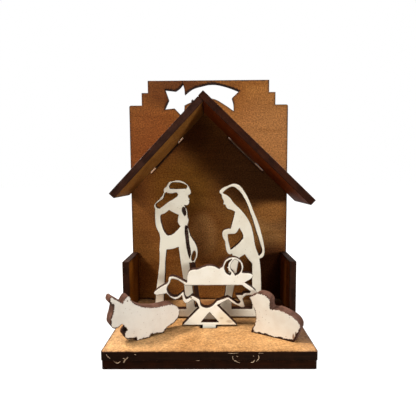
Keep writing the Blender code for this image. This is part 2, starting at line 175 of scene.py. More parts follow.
class ShaderBench(NodeBench):
    """A material under construction, with short calls for what wood and paint need."""

    SHIFT_SHARES = (1.0, 0.7, 0.3)
    DOT_CORE = 0.5

    def __init__(self, name: str, roughness: float, specular: float) -> None:
        """Starts a material with a principled shader.

        Args:
            name: Name of the material.
            roughness: Roughness of the surface where nothing else sets it.
            specular: Specular level of the surface.
        """
        self.material = bpy.data.materials.new(name)
        super().__init__(self.material)
        self.shader = self.tree.nodes["Principled BSDF"]
        self.shader.inputs["Roughness"].default_value = roughness
        self.shader.inputs["Specular IOR Level"].default_value = specular

    def attribute(self, name: str, output: str = "Fac") -> Socket:
        """Reads a mesh attribute, as one number or, from the output Vector, as three."""
        return self.add("Attribute", attribute_name=name).outputs[output]

    def stretch(self, vector: Socket, scale: Sequence[float], shift: float) -> Socket:
        """Scales coordinates, and shifts them so that each board has a pattern of its own."""
        place = tuple(shift * share for share in self.SHIFT_SHARES)
        return self.add("Mapping", Vector=vector, Scale=scale, Location=place).outputs["Vector"]

    def noise(self, vector: Socket, scale: float, detail: float = 3.0, rough: float = 0.55) -> Socket:
        """Makes cloudy noise around 0.5, with the scale in spots per unit of its coordinates."""
        node = self.add("TexNoise", Vector=vector, Scale=scale, Detail=detail, Roughness=rough)
        return node.outputs["Fac"]

    def specks(self, vector: Socket, scale: float, size: float) -> Socket:
        """Makes dots of 1 on 0. The scale is cells per millimetre and the size a share of a cell."""
        cells = self.add("TexVoronoi", Vector=vector, Scale=scale)
        return self.span(cells.outputs["Distance"], size, size * self.DOT_CORE)

    def span(
        self, value: Socket, low: float, high: float, to_low: float = 0.0, to_high: float = 1.0
    ) -> Socket:
        """Maps a range of values onto another with eased ends.

        Args:
            value: The value.
            low: Where the first end starts.
            high: Where the second end starts.
            to_low: Result at the first end.
            to_high: Result at the second end.

        Returns:
            The mapped value.
        """
        node = self.add("MapRange", interpolation_type="SMOOTHSTEP", Value=value)
        if low > high:
            low, high, to_low, to_high = high, low, to_high, to_low
        ends = {"From Min": low, "From Max": high, "To Min": to_low, "To Max": to_high}
        for end, number in ends.items():
            node.inputs[end].default_value = number
        return node.outputs["Result"]

    def mix(self, share: object, first: object, second: object, blend: str = "MIX") -> Socket:
        """Mixes two colours.

        Args:
            share: How much of the second one.
            first: A colour or an output.
            second: A colour or an output.
            blend: Blender's name for the blend.

        Returns:
            The mixed colour.
        """
        node = self.add("Mix", data_type="RGBA", blend_type=blend, Factor=share)
        colours = [socket for socket in node.inputs if socket.type == "RGBA"]
        self.feed(colours[0], first)
        self.feed(colours[1], second)
        return next(socket for socket in node.outputs if socket.type == "RGBA")

    def wash(
        self, colour: object, value: Socket, ends: Pair, tone: Colour, share: float = 1.0, blend: str = "MIX"
    ) -> Socket:
        """Lays a tone over a colour, up to a share, as a value goes from one end to the other."""
        return self.mix(self.span(value, *ends, 0.0, share), colour, tone, blend)

    def relief(self, height: Socket, depth: float, strength: float) -> None:
        """Gives the surface fine relief, where a height of 1 stands for depth in millimetres."""
        bump = self.add("Bump", Strength=strength, Distance=depth * MM, Height=height)
        self.link(bump.outputs["Normal"], self.shader.inputs["Normal"])

    def finish(self, colour: Socket, roughness: Socket | None = None) -> Material:
        """Connects colour and roughness.

        Args:
            colour: The colour.
            roughness: The roughness, where it varies.

        Returns:
            The material.
        """
        self.link(colour, self.shader.inputs["Base Color"])
        if roughness is not None:
            self.link(roughness, self.shader.inputs["Roughness"])
        return self.material


@dataclass(frozen=True)
class Patch:
    """A patch of colour on a board: its middle, half sizes and colour.

    Some patches are stains and marks of the board; others are painted light and painted shade.

    Fade tells where it ends and where it is full, as shares of its half sizes.
    """

    x: float
    y: float
    wide: float
    high: float
    tone: Colour
    strength: float
    fade: Pair = (1.3, 0.5)

    def cover(self, bench: ShaderBench, place: Socket) -> Socket:
        """Gives the share that the patch covers, fading out towards its edge.

        Args:
            bench: The material.
            place: Coordinates on the board.

        Returns:
            The share, 0 to 1.
        """
        middle = (-self.x / self.wide, -self.y / self.high, 0)
        moved = bench.add("Mapping", Vector=place, Location=middle, Scale=(1 / self.wide, 1 / self.high, 0))
        reach = bench.add("VectorMath", operation="LENGTH", Vector=moved.outputs["Vector"])
        return bench.span(reach.outputs["Value"], *self.fade, 0.0, self.strength)


@dataclass(frozen=True)
class GableShade:
    """Painted shade in the gable's corner under the right roof board, as a darker tone over the stain."""

    tone: Colour
    ridge: Point = (-2.0, 104.6)
    left_pitch: float = math.radians(46.4)
    right_pitch: float = math.radians(44.0)
    inset: Pair = (1.0, 2.6)
    edge: Point = (-15.5, 81.0)
    edge_pitch: float = math.radians(38.0)
    soft: float = 3.2
    strength: float = 0.38

    def depth_under(self, bench: ShaderBench, place: Socket, start: Point, fall: float) -> Socket:
        """Measures how far a place lies under a sloping line.

        Args:
            bench: The material.
            place: Coordinates on the board.
            start: A place on the line.
            fall: How steeply it falls to the right, in radians, or to the left where negative.

        Returns:
            Millimetres under the line.
        """
        normal = (-math.sin(fall), -math.cos(fall), 0.0)
        dot = bench.add("VectorMath", operation="DOT_PRODUCT", Vector=place)
        dot.inputs[1].default_value = normal
        return bench.sum(dot.outputs["Value"], -normal[0] * start[0] - normal[1] * start[1])

    def cover(self, bench: ShaderBench, place: Socket) -> Socket:
        """Gives the share that the painted shade covers.

        Args:
            bench: The material.
            place: Coordinates on the board.

        Returns:
            The share, 0 to 1.
        """
        left = self.depth_under(bench, place, self.ridge, -self.left_pitch)
        right = self.depth_under(bench, place, self.ridge, self.right_pitch)
        covered = bench.span(bench.sum(left, right, "MINIMUM"), *self.inset)
        under = self.depth_under(bench, place, self.edge, self.edge_pitch)
        return bench.sum(covered, bench.span(under, self.soft, -self.soft, 0.0, self.strength), "MULTIPLY")


@dataclass(frozen=True)
class StainedFace:
    """Fibreboard under a wiped-on wood stain: cloudy, streaked, flecked, and burnt at its rims.

    Its noises are in spots per millimetre, and burn is about the width of the burnt rim.
    """

    name: str
    tone: Colour
    deep: Colour
    char: Colour = (38, 22, 18)
    cloud: float = 0.055
    mottle: float = 0.9
    fleck: float = 3.2
    sand: float = 1.5
    streak_across: float = 0.26
    streak_along: float = 0.03
    finer: Triple = (2, 5, 1)
    streak_light: Colour = (1.12, 1.12, 1.12)
    streak_dark: Colour = (0.84, 0.79, 0.72)
    streak_char: float = 0.14
    sand_light: float = 0.42
    sand_dark: float = 0.34
    fleck_char: float = 0.4
    grain: float = 1.0
    burn: float = 0.45
    ragged: float = 0.25
    smoke: float = 0.35
    patches: tuple[Patch | GableShade, ...] = ()
    seed: float = 0.0
    roughness: float = 0.62
    gloss_play: float = 0.1
    specular: float = 0.06
    relief: float = 0.05

    def make(self) -> Material:
        """Builds the material.

        Returns:
            The material.
        """
        bench = ShaderBench(self.name, self.roughness, self.specular)
        place = bench.attribute("board", "Vector")
        own = bench.stretch(place, EVEN, self.seed)
        bent = bench.stretch(place, (self.streak_along, self.streak_across, 1), self.seed + 3)
        streak = bench.noise(bent, 1.0, detail=5, rough=0.62)
        fine_streak = bench.noise(bench.stretch(bent, self.finer, 1.7), 1.0)
        mottle = bench.noise(own, self.mottle, detail=5, rough=0.68)
        fleck = bench.noise(own, self.fleck, detail=2)
        sand = bench.noise(own, self.sand, rough=0.8)
        colour = bench.mix(bench.span(bench.noise(own, self.cloud), *WIDE), self.deep, self.tone)
        for patch in self.patches:
            colour = bench.mix(patch.cover(bench, place), colour, patch.tone)
        colour = bench.wash(colour, streak, (0.48, 0.7), self.streak_light, blend="MULTIPLY")
        colour = bench.wash(colour, streak, (0.48, 0.3), self.streak_dark, blend="MULTIPLY")
        colour = bench.wash(colour, fine_streak, (0.42, 0.2), self.char, self.streak_char)
        for ends, change in (((0.5, 0.64), self.sand_light), ((0.5, 0.36), -self.sand_dark)):
            tone = (1 + change * self.grain,) * 3
            colour = bench.wash(colour, sand, ends, tone, blend="MULTIPLY")
        colour = bench.wash(colour, fleck, (0.42, 0.26), self.char, self.fleck_char * self.grain)
        rim = bench.sum(bench.attribute("rim"), bench.span(mottle, *WIDE, -self.ragged, self.ragged))
        colour = bench.wash(colour, rim, (self.burn * 6, 0.0), self.char, self.smoke)
        colour = bench.wash(colour, rim, (self.burn * 1.7, self.burn * 0.35), self.char)
        bench.relief(bench.sum(fleck, bench.sum(mottle, 0.8, "MULTIPLY")), self.relief, 0.55)
        gloss = (self.roughness + self.gloss_play, self.roughness - self.gloss_play)
        return bench.finish(colour, bench.span(mottle, *WIDE, *gloss))


@dataclass(frozen=True)
class BurntCut:
    """The wall that the laser leaves: dark, with streaks across the board and pale fibre dots.

    Lines and layers give a noise's spots per millimetre along the wall and across the board.
    """

    name: str
    tone: Colour
    deep: Colour
    warm: Colour
    fleck: Colour = (120, 92, 78)
    flecks: float = 0.5
    seed: float = 0.0
    lines: Triple = (3.2, 0.25, 1)
    layers: Triple = (0.1, 1.4, 1)
    line_share: float = 0.5
    layer_share: float = 0.6
    cloud: float = 0.25
    dots: float = 3.4
    roughness: float = 0.8
    specular: float = 0.05
    relief: float = 0.06

    def make(self) -> Material:
        """Builds the material.

        Returns:
            The material.
        """
        bench = ShaderBench(self.name, self.roughness, self.specular)
        place = bench.attribute("board", "Vector")
        own = bench.stretch(place, EVEN, self.seed)
        lines = bench.noise(bench.stretch(place, self.lines, self.seed), 1.0)
        layers = bench.noise(bench.stretch(place, self.layers, self.seed + 2), 1.0, detail=2)
        dots = bench.noise(own, self.dots, detail=2)
        colour = bench.mix(bench.span(bench.noise(own, self.cloud), *MIDDLE), self.deep, self.tone)
        colour = bench.wash(colour, layers, (0.48, 0.7), self.warm, self.layer_share)
        colour = bench.wash(colour, lines, (0.5, 0.3), self.deep, self.line_share)
        colour = bench.wash(colour, dots, (0.6, 0.75), self.fleck, self.flecks)
        bench.relief(bench.sum(lines, dots), self.relief, 0.6)
        return bench.finish(colour)


@dataclass(frozen=True)
class PaintedFace:
    """Matt cream paint on fibreboard, with tiny specks and a scorched line round every cut.

    Each pair for dots is cells per millimetre and a dot's share of its cell.
    """

    name: str
    tone: Colour
    shade: Colour
    speck: Colour = (120, 84, 60)
    char: Colour = (50, 30, 21)
    burn: float = 0.07
    fade: float = 0.16
    ragged: float = 0.08
    smoke: float = 0.3
    specks: float = 0.34
    large_dots: Pair = (0.62, 0.15)
    fine_dots: Pair = (1.5, 0.17)
    fine_share: float = 0.35
    cloud: float = 0.16
    grain: float = 2.6
    grain_share: float = 0.3
    rim_noise: float = 1.9
    patches: tuple[Patch, ...] = ()
    seed: float = 0.0
    roughness: float = 0.72
    specular: float = 0.1
    relief: float = 0.04

    def make(self) -> Material:
        """Builds the material.

        Returns:
            The material.
        """
        bench = ShaderBench(self.name, self.roughness, self.specular)
        place = bench.attribute("board", "Vector")
        own = bench.stretch(place, EVEN, self.seed)
        grain = bench.noise(own, self.grain, detail=4, rough=0.65)
        large = bench.specks(own, *self.large_dots)
        fine = bench.specks(bench.stretch(own, EVEN, 4.4), *self.fine_dots)
        colour = bench.mix(bench.span(bench.noise(own, self.cloud), *MIDDLE), self.shade, self.tone)
        colour = bench.wash(colour, grain, (0.45, 0.25), self.shade, self.grain_share)
        for dots, share in ((large, self.specks), (fine, self.specks * self.fine_share)):
            colour = bench.mix(bench.sum(dots, share, "MULTIPLY"), colour, self.speck)
        for patch in self.patches:
            colour = bench.mix(patch.cover(bench, place), colour, patch.tone)
        worn = bench.sum(bench.attribute("rim"), bench.attribute("wear"), "SUBTRACT")
        shake = bench.span(bench.noise(own, self.rim_noise), *WIDE, -self.ragged, self.ragged)
        worn = bench.sum(worn, shake)
        colour = bench.wash(colour, worn, (self.burn + self.fade * 3, self.burn), self.speck, self.smoke)
        burnt = bench.span(worn, self.burn + self.fade, self.burn)
        colour = bench.mix(burnt, colour, self.char)
        bench.relief(bench.sum(grain, bench.sum(burnt, -0.8, "MULTIPLY")), self.relief, 0.5)
        return bench.finish(colour)


@dataclass(frozen=True)
class PlainMark:
    """A small mark on a board, such as a scuff or a bead of glue, broken by fine noise."""

    name: str
    tone: Colour
    deep: Colour
    roughness: float
    specular: float
    bare: Colour | None = None
    spots_per_m: float = 1800
    relief: float = 0.03

    def make(self) -> Material:
        """Builds the material.

        Returns:
            The material.
        """
        bench = ShaderBench(self.name, self.roughness, self.specular)
        cloud = bench.noise(bench.add("TexCoord").outputs["Object"], self.spots_per_m)
        colour = bench.mix(bench.span(cloud, *MIDDLE), self.deep, self.tone)
        # A mark may carry a second colour of painted light, by a vertex attribute.
        if self.bare:
            colour = bench.mix(bench.attribute("bare"), colour, self.bare)
        bench.relief(cloud, self.relief, 0.5)
        return bench.finish(colour)


@dataclass(frozen=True)
class Plane:
    """A board's own two directions, from the model's origin."""

    along: Vector
    up: Vector

    @property
    def out(self) -> Vector:
        """The way that the front face looks."""
        return self.along.cross(self.up)

    def flatten(self, place: Vector) -> Triple:
        """Gives a point of the model, in metres, as millimetres along, up and out of the board."""
        offset = place / MM
        return (offset.dot(self.along), offset.dot(self.up), offset.dot(self.out))

    def place_all(self, points: Array) -> Array:
        """Turns rows of along, up and out, in millimetres, into points of the model."""
        return points @ np.array([self.along, self.up, self.out]) * MM


FACING_FRONT = Plane(Vector((1, 0, 0)), Vector((0, 0, 1)))
FACING_UP = Plane(Vector((1, 0, 0)), Vector((0, 1, 0)))
WELD = 0.002
LEVEL = 0.01
TINY = 1e-9
CHUNK = 800


def trace(node: str, plane: Plane) -> tuple[list[Array], float, float]:
    """Reads the outline and the two faces of a CAD board.

    Args:
        node: Name of the CAD node.
        plane: The board's axes.

    Returns:
        The loops, with the board to the left of each, and the heights of its front and its back.
    """
    shape = bmesh.new()
    shape.from_mesh(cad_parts[node].data)
    bmesh.ops.remove_doubles(shape, verts=shape.verts, dist=WELD * MM)
    flat = {v: plane.flatten(v.co) for v in shape.verts}
    front = max(p[2] for p in flat.values())
    back = min(p[2] for p in flat.values())
    follow: dict[bmesh.types.BMVert, bmesh.types.BMVert] = {}
    for edge in shape.edges:
        faces = [f for f in edge.link_faces if all(front - flat[v][2] < LEVEL for v in f.verts)]
        if len(faces) != 1:
            continue
        first, second = edge.verts
        a, b, m = flat[first], flat[second], plane.flatten(faces[0].calc_center_median())
        if (b[0] - a[0]) * (m[1] - a[1]) < (b[1] - a[1]) * (m[0] - a[0]):
            first, second = second, first
        follow[first] = second
    loops = []
    while follow:
        here, loop = next(iter(follow)), []
        while here in follow:
            loop.append(flat[here][:2])
            here = follow.pop(here)
        loops.append(np.array(loop))
    shape.free()
    return loops, front, back


def densify(loop: Array, step: float) -> Array:
    """Adds points to an outline until no edge is longer than a step.

    Args:
        loop: The outline.
        step: Longest edge.

    Returns:
        The finer outline.
    """
    points = []
    for here, there in zip(loop, np.roll(loop, -1, axis=0)):
        count = max(1, math.ceil(np.linalg.norm(there - here) / step))
        points += [here + (there - here) * k / count for k in range(count)]
    return np.array(points)


def inward(loop: Array) -> Array:
    """Gives the direction into the board at each point of an outline.

    Args:
        loop: The outline.

    Returns:
        One direction of length 1 for each point.
    """
    ahead = np.roll(loop, -1, axis=0) - loop
    ahead /= np.maximum(np.linalg.norm(ahead, axis=1, keepdims=True), TINY)
    mean = ahead + np.roll(ahead, 1, axis=0)
    mean /= np.maximum(np.linalg.norm(mean, axis=1, keepdims=True), TINY)
    return np.stack([-mean[:, 1], mean[:, 0]], axis=1)


def distance(points: Array, loops: Iterable[Array]) -> Array:
    """Measures how far each point lies from the nearest outline.

    Args:
        points: The points.
        loops: The outlines.

    Returns:
        One distance for each point.
    """
    starts = np.concatenate(list(loops))
    rays = (np.concatenate([np.roll(loop, -1, axis=0) for loop in loops]) - starts)[None]
    best = np.zeros(len(points))
    for first in range(0, len(points), CHUNK):
        part = points[first : first + CHUNK, None, :]
        share = ((part - starts[None]) * rays).sum(2) / np.maximum((rays**2).sum(2), TINY**2)
        foot = starts[None] + rays * np.clip(share, 0, 1)[..., None]
        best[first : first + CHUNK] = np.sqrt(((part - foot) ** 2).sum(2).min(1))
    return best


def inside(points: Array, loops: Iterable[Array]) -> Array:
    """Tells which points lie on the board, by counting crossings to the right.

    Args:
        points: The points.
        loops: The outlines.

    Returns:
        True for each point on the board.
    """
    odd = np.zeros(len(points), bool)
    for loop in loops:
        for a, b in zip(loop, np.roll(loop, -1, axis=0)):
            rise = b[1] - a[1]
            if rise == 0:
                continue
            spans = (a[1] > points[:, 1]) != (b[1] > points[:, 1])
            cross = a[0] + (points[:, 1] - a[1]) * (b[0] - a[0]) / rise
            odd ^= spans & (points[:, 0] < cross)
    return odd


def stand(name: str, data: bpy.types.ID) -> bpy.types.Object:
    """Puts a mesh, a light or a camera in the scene.

    Args:
        name: Name of the object.
        data: What it shows.

    Returns:
        The object.
    """
    thing = bpy.data.objects.new(name, data)
    bpy.context.scene.collection.objects.link(thing)
    return thing


def dress(name: str, mesh: bpy.types.Mesh) -> bpy.types.Object:
    """Turns a mesh into a piece that rides on the body.

    Args:
        name: Name of the piece.
        mesh: Its mesh.

    Returns:
        The piece.
    """
    piece = stand(name, mesh)
    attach(piece, BODY)
    LOG.info("%s: %d faces", name, len(mesh.polygons))
    return piece


@dataclass
class CutBoard:
    """One board: the CAD node that it stands for, how finely it is built, and its finishes."""

    node: str
    plane: Plane
    face: Material
    cut: Material
    back: Material
    slot: Slot
    step: float = 0.6
    grid: float = 1.2
    rims: Pair = (0.22, 0.6)
    soften: float = 0.07
    wobble: float = 0.02
    rows: int = 3
    chips: tuple[Chip, ...] = ()
    rim_waves: float = 0.9
    ring_slack: float = 0.93
    row_height: float = 0.87
    jog: float = 0.25
    jog_waves: float = 3.1
    clear: float = 0.4
    wall_layer: float = 5.0
    crease: float = math.radians(28)

    def outline(self, loops: list[Array]) -> list[Array]:
        """Makes the CAD outline finer and a little uneven, as the laser leaves it.

        Args:
            loops: The CAD board's loops.

        Returns:
            The finer loops.
        """
        fine = []
        for loop in loops:
            loop = densify(loop, self.step)
            spots = [Vector((x * self.rim_waves, y * self.rim_waves, len(self.node))) for x, y in loop]
            shake = np.array([wave.noise(spot) for spot in spots])[:, None] + 0.5
            fine.append(loop + inward(loop) * shake * self.wobble)
        return fine

    def scatter(self, fine: list[Array]) -> Array:
        """Lays points on the face: rows beside the outline and a jogged grid further in.

        Args:
            fine: The board's loops.

        Returns:
            The points, with the loops' own first.
        """
        border = np.concatenate(fine)
        rings = []
        for depth in self.rims:
            near = np.concatenate([loop + inward(loop) * depth for loop in fine])
            rings.append(near[distance(near, fine) > depth * self.ring_slack])
        low, high = border.min(0), border.max(0)
        spots = []
        for row, y in enumerate(np.arange(low[1], high[1], self.grid * self.row_height)):
            for x in np.arange(low[0], high[0], self.grid):
                jog = wave.noise(Vector((x * self.jog_waves, y * self.jog_waves, 1.0))) * self.jog
                spots.append((x + (row % 2) * self.grid / 2 + jog * self.grid, y + jog * self.grid))
        middle = np.array(spots)
        middle = middle[inside(middle, fine)]
        middle = middle[distance(middle, fine) > self.rims[-1] + self.grid * self.clear]
        return np.concatenate([border, *rings, middle])

    def plan(self, fine: list[Array]) -> tuple[Array, list[tuple[int, ...]], Array]:
        """Joins the face's points in triangles.

        Args:
            fine: The board's loops.

        Returns:
            The points with the loops' own first, the triangles and the rim distances.
        """
        edges, first = [], 0
        for loop in fine:
            size = len(loop)
            edges += [(first + k, first + (k + 1) % size) for k in range(size)]
            first += size
        spots = [Vector(p) for p in self.scatter(fine)]
        verts, _, faces, origins, _, _ = delaunay_2d_cdt(spots, edges, [], 1, 1e-6)
        source = [min(o) if o else -1 for o in origins]
        order: dict[int, int] = {}
        for index, start in enumerate(source):
            order.setdefault(start, index)
        lead = [order[k] for k in range(first) if k in order]
        if len(lead) != first:
            raise RuntimeError(f"{self.node}: two points of the outline fell together")
        numbers = lead + [k for k, start in enumerate(source) if start >= first or start < 0]
        renumber = {old: new for new, old in enumerate(numbers)}
        place = np.array([tuple(v) for v in verts])[numbers]
        triangles = [tuple(renumber[k] for k in f) for f in faces]
        keep = inside(np.array([place[list(t)].mean(0) for t in triangles]), fine)
        rim = distance(place, fine)
        rim[:first] = 0.0
        return place, [t for t, good in zip(triangles, keep) if good], rim

    def build(self) -> None:
        """Builds the board in place, and lets it stand for its CAD node."""
        loops, front, back = trace(self.node, self.plane)
        loops = self.outline(loops)
        flat, triangles, rim = self.plan(loops)
        count, border = len(flat), sum(len(loop) for loop in loops)
        sink = np.where(rim < self.rims[0] * 0.5, self.soften, 0.0)
        top = np.column_stack([flat, front - sink])
        low = np.column_stack([flat, back + sink])
        layers = [top, low]
        for row in range(1, self.rows):
            height = top[:border, 2] + (low[:border, 2] - top[:border, 2]) * row / self.rows
            layers.append(np.column_stack([flat[:border], height]))
        spots = np.concatenate(layers)
        starts = (0, *range(2 * count, len(spots), border), count)
        faces = [*triangles, *(tuple(count + k for k in reversed(t)) for t in triangles)]
        coords = [[(*flat[k % count], 0.0) for k in face] for face in faces]
        kinds = [FACE] * len(triangles) + [BACK] * len(triangles)
        first = 0
        for loop in loops:
            size, travelled = len(loop), 0.0
            for k in range(size):
                here, there = first + k, first + (k + 1) % size
                ahead = travelled + float(np.linalg.norm(flat[there] - flat[here]))
                for row in range(self.rows):
                    corners = ((here, row), (here, row + 1), (there, row + 1), (there, row))
                    ring = tuple(starts[at] + point for point, at in corners)
                    reach = zip((travelled, travelled, ahead, ahead), ring)
                    coords.append([(along, front - spots[i, 2], self.wall_layer) for along, i in reach])
                    faces.append(ring)
                    kinds.append(CUT)
                travelled = ahead
            first += size
        mesh = bpy.data.meshes.new(self.node + "_board")
        mesh.from_pydata(self.plane.place_all(spots).tolist(), [], faces)
        for finish in (self.face, self.cut, self.back):
            mesh.materials.append(finish)
        mesh.polygons.foreach_set("material_index", kinds)
        board = mesh.attributes.new("board", "FLOAT_VECTOR", "CORNER")
        board.data.foreach_set("vector", np.array([c for f in coords for c in f], np.float32).ravel())
        distances = np.concatenate([rim, rim, np.zeros(border * (self.rows - 1))])
        for name, values in (("rim", distances), ("wear", self._wear(spots))):
            mesh.attributes.new(name, "FLOAT", "POINT").data.foreach_set("value", values)
        mesh.shade_smooth()
        mesh.set_sharp_from_angle(angle=self.crease)
        mesh.validate()
        piece = dress(self.node + "_board", mesh)
        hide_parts(self.node)

    def _wear(self, spots: Array) -> Array:
        """Gives how far the paint is chipped at each vertex.

        Args:
            spots: Rows of along, up and out.

        Returns:
            Millimetres by which the burnt rim reaches further in.
        """
        worn = np.zeros(len(spots))
        for x, y, radius, depth in self.chips:
            near = 1 - np.hypot(spots[:, 0] - x, spots[:, 1] - y) / radius
            worn = np.maximum(worn, np.clip(near, 0, 1) * depth)
        return worn


def dress_small(shape: Shape, name: str, finish: Material) -> None:
    """Turns a small shape, in metres, into a piece that rides on the body.

    Args:
        shape: The shape, which is freed.
        name: Name of the piece.
        finish: Its material.
    """
    bmesh.ops.recalc_face_normals(shape, faces=shape.faces)
    mesh = bpy.data.meshes.new(name)
    shape.to_mesh(mesh)
    shape.free()
    mesh.materials.append(finish)
    mesh.shade_smooth()
    dress(name, mesh)


def tube(shape: Shape, rows: Sequence[Iterable[Vector]]) -> list[bmesh.types.BMFace]:
    """Joins rows of points into a closed tube.

    Args:
        shape: Where it goes.
        rows: Rings of points, in metres, all with the same number.

    Returns:
        The two faces at its ends.
    """
    rings = [[shape.verts.new(place) for place in row] for row in rows]
    for first, second in zip(rings, rings[1:]):
        for here in range(len(first)):
            there = (here + 1) % len(first)
            shape.faces.new((first[here], first[there], second[there], second[here]))
    return [shape.faces.new(rings[0]), shape.faces.new(list(reversed(rings[-1])))]


@dataclass(frozen=True)
class Scuff:
    """A pale scrape through the soot of the base's front edge, along points in X and Z."""

    points: tuple[Point, ...]
    width: float
    proud: float = 0.05
    buried: float = 0.12
    lift: float = 0.01
    steps: int = 14
    look_ahead: float = 0.02
    ragged: Pair = (0.75, 0.5)
    waves: float = 2.3
    end: float = 0.06
    thinnest: float = 0.12

    def along(self, share: float) -> Point:
        """Gives a place on the scrape's smooth line.

        Args:
            share: How far along the line it lies, from 0 to 1.

        Returns:
            Its X and Z.
        """
        share = min(1.0, max(0.0, share))
        spans = len(self.points) - 1
        first = min(int(share * spans), spans - 1)
        part = share * spans - first
        a, b, c, d = (self.points[max(0, min(spans, first + k))] for k in (-1, 0, 1, 2))
        place = []
        for p, q, r, s in zip(a, b, c, d):
            bend = (2 * p - 5 * q + 4 * r - s) * part**2 + (3 * q - p - 3 * r + s) * part**3
            place.append(0.5 * (2 * q + (r - p) * part + bend))
        return (place[0], place[1])

    def scrape(self, shape: Shape, front: float) -> None:
        """Adds the ridge to a shape.

        Args:
            shape: Where it goes.
            front: Y of the edge, in millimetres.
        """
        rows = []
        for step in range(self.steps + 1):
            share = step / self.steps
            x, z = self.along(share)
            ahead = Vector(self.along(share + self.look_ahead)) - Vector(self.along(share - self.look_ahead))
            ahead.normalize()
            wide = self.ragged[0] + self.ragged[1] * wave.noise(Vector((x * self.waves, z * self.waves, 0.0)))
            taper = math.sin(math.pi * (self.end + (1 - 2 * self.end) * share))
            half = self.width / 2 * wide * max(self.thinnest, taper)
            across, middle = (-ahead.y * half, ahead.x * half), (0.0, 0.0)
            other = (-across[0], -across[1])
            ring = ((across, 0.0), (middle, -self.proud), (other, 0.0), (middle, self.buried))
            rows.append([Vector((x + at[0], front + self.lift + y, z + at[1])) * MM for at, y in ring])
        tube(shape, rows)


FRONT_SCUFFS = (
    Scuff(((-36.9, 5.8), (-36.3, 4.9), (-35.5, 4.2)), 0.5),
    Scuff(((-34.3, 3.3), (-33.0, 2.5), (-31.8, 3.2)), 0.42),
    Scuff(((-30.7, 2.5), (-30.2, 3.6), (-29.0, 4.7)), 0.55),
    Scuff(((-30.9, 4.4), (-30.3, 4.1)), 0.4),
    Scuff(((-26.8, 5.8), (-26.1, 5.6)), 0.35),
    Scuff(((8.4, 5.2), (8.8, 3.6), (11.0, 2.6)), 0.4),
    Scuff(((9.8, 5.2), (10.4, 4.8)), 0.35),
    Scuff(((15.7, 5.2), (16.1, 5.0)), 0.35),
    Scuff(((17.6, 5.5), (17.8, 4.2), (16.8, 3.0)), 0.42),
    Scuff(((14.9, 2.7), (15.8, 2.9), (16.4, 3.7)), 0.4),
    Scuff(((17.7, 6.15), (19.5, 6.15)), 0.22),
    Scuff(((-4.8, 3.42), (-3.4, 3.4)), 0.22),
    Scuff(((6.8, 6.2), (8.6, 6.1), (10.6, 6.2)), 0.2),
)
SCUFF_TONE = PlainMark("pale_scuff", (206, 186, 160), (120, 92, 70), 0.8, 0.1)
# Painted shade for the slots of the roof tabs, with painted light where light would come through them.
SLOT_SHADE_TONE = PlainMark("painted_slot_shade", (44, 24, 14), (24, 12, 6), 0.7, 0.1, (255, 202, 156))
BLOB_TONE = PlainMark("glue_blob", (52, 34, 30), (30, 18, 16), 0.35, 0.3)
GROOVE_TONE = PlainMark("burnt_groove", (84, 62, 56), (26, 15, 11), 0.85, 0.05)
BASE_UPPER_CUT = BurntCut("base_cut_upper", (30, 15, 7), (20, 9, 4), (38, 22, 12), (66, 46, 34), 0.25, 1)
BASE_LOWER_CUT = BurntCut("base_cut_lower", (35, 14, 4), (23, 8, 2), (46, 19, 6), (66, 36, 18), 0.25, 7)
STABLE_CUT = BurntCut("burnt_cut_dark", (54, 33, 26), (34, 18, 13), (60, 32, 20), (108, 82, 68))
RIGHT_ROOF_CUT = BurntCut("burnt_cut_red", (46, 21, 11), (30, 13, 7), (58, 27, 13), (100, 72, 56), seed=5)
WALL_CUT = BurntCut("wall_cut", (44, 24, 15), (28, 14, 8), (52, 26, 14), (84, 60, 48), seed=3)
FIGURE_CUT = BurntCut("burnt_cut_figures", (64, 42, 34), (40, 24, 18), (74, 48, 36), seed=4)
ANIMAL_CUT = BurntCut("animal_cut", (98, 70, 60), (64, 44, 36), (108, 72, 57), seed=8)
RAW_BACK = StainedFace("raw_fibreboard_back", (176, 136, 96), (150, 110, 74), (60, 36, 26), seed=9)


@dataclass
class Base:
    """Two boards glued together, with slots in the upper one."""

    front: float = -30.0
    step: float = 1.0
    upper_grid: float = 2.5
    lower_grid: float = 4.0
    rims: Pair = (0.35, 1.0)
    soften: float = 0.06
    wobble: float = 0.03

    def build(self) -> None:
        """Builds and dresses both boards and the scuffs on their front edge."""
        face = StainedFace(
            "base_top_stain_painted_light_and_shade", (178, 139, 94), (160, 119, 75), (60, 34, 20),
            streak_across=0.3, streak_along=0.12, burn=0.3, grain=0.95, sand=1.05, seed=2,
            patches=(
                # Painted light on the base's left front.
                Patch(-31, -20, 18, 10, (187, 149, 104), 0.8),
                # Painted shadow of the sheep at the right end, with darker stain.
                Patch(39, -10, 10, 15, (84, 52, 28), 0.85),
                # Painted shadow on the base behind the couple, on the right, in this patch and the next.
                Patch(26, 11, 18, 12, (46, 20, 8), 0.9),
                Patch(36, 12, 9, 14, (66, 28, 12), 0.85),
                # Behind the manger: partly darker stain, partly painted shadow.
                Patch(2, 13, 14, 11, (108, 66, 36), 0.85),
                # Painted shadow on the base just in front of the couple, right of the manger.
                Patch(22, -4, 12, 4, (134, 100, 66), 0.6),
            ),
        ).make()
        upper = BASE_UPPER_CUT.make()
        lower = BASE_LOWER_CUT.make()
        under = StainedFace("base_underside", (150, 104, 66), (128, 84, 50), seed=5).make()
        boards = (("base_upper", upper, self.upper_grid), ("base_lower", lower, self.lower_grid))
        for name, cut, grid in boards:
            CutBoard(
                name, FACING_UP, face, cut, under, Slot.BASE,
                self.step, grid, self.rims, self.soften, self.wobble,
            ).build()
        self.scuffs()

    def scuffs(self) -> None:
        """Adds the pale scrapes on the front edge, as one piece of thin tapered ridges."""
        shape = bmesh.new()
        for line in FRONT_SCUFFS:
            line.scrape(shape, self.front)
        dress_small(shape, "base_front_scuffs", SCUFF_TONE.make())


